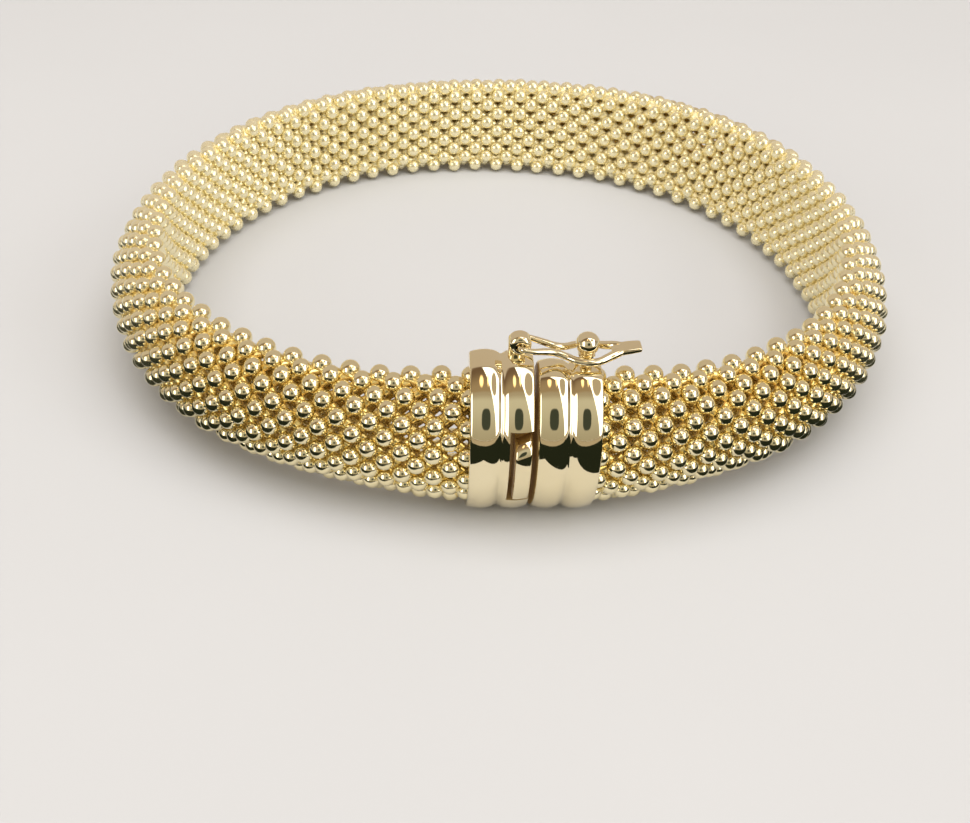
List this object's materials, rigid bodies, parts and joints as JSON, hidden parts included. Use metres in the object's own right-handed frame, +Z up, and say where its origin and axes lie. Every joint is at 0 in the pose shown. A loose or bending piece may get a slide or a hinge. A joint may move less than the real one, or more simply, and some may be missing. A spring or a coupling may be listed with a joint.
{
  "type": "bracelet",
  "caption": "Closed bracelet with a domed band of fine beads, a ribbed box clasp with a thumb tab, and a figure-eight safety catch over a ball stud.",
  "frame": {"origin": "on the surface it lies on, under the middle of the whole bracelet", "axes": "+Z up, out of the ring's open face; -Y towards the clasp; +X to the clasp's right, seen from in front of it"},
  "size_m": [0.0662, 0.0644, 0.0146],
  "materials": {
    "gold_beads": "polished yellow gold, knitted beads",
    "gold_clasp": "high-polish yellow gold"
  },
  "bodies": {
    "bracelet": {"mesh_band": "gold_beads", "clasp_box": "gold_clasp", "clasp_end": "gold_clasp"},
    "thumb_tab": {"thumb_tab": "gold_clasp"},
    "safety_catch": {"safety_catch": "gold_clasp"}
  },
  "joints": [
    {"name": "thumb_press", "type": "hinge", "parent": "bracelet", "child": "thumb_tab", "pos_m": [-0.00307, -0.02994, 0.0054], "axis": [0, 0, 1], "range_deg": [0, 5], "stiffness_Nm_per_rad": 0.07},
    {"name": "catch_swing", "type": "hinge", "parent": "bracelet", "child": "safety_catch", "pos_m": [-0.00094, -0.02776, 0.0138], "axis": [0, -1, 0], "range_deg": [0, 150]}
  ]
}
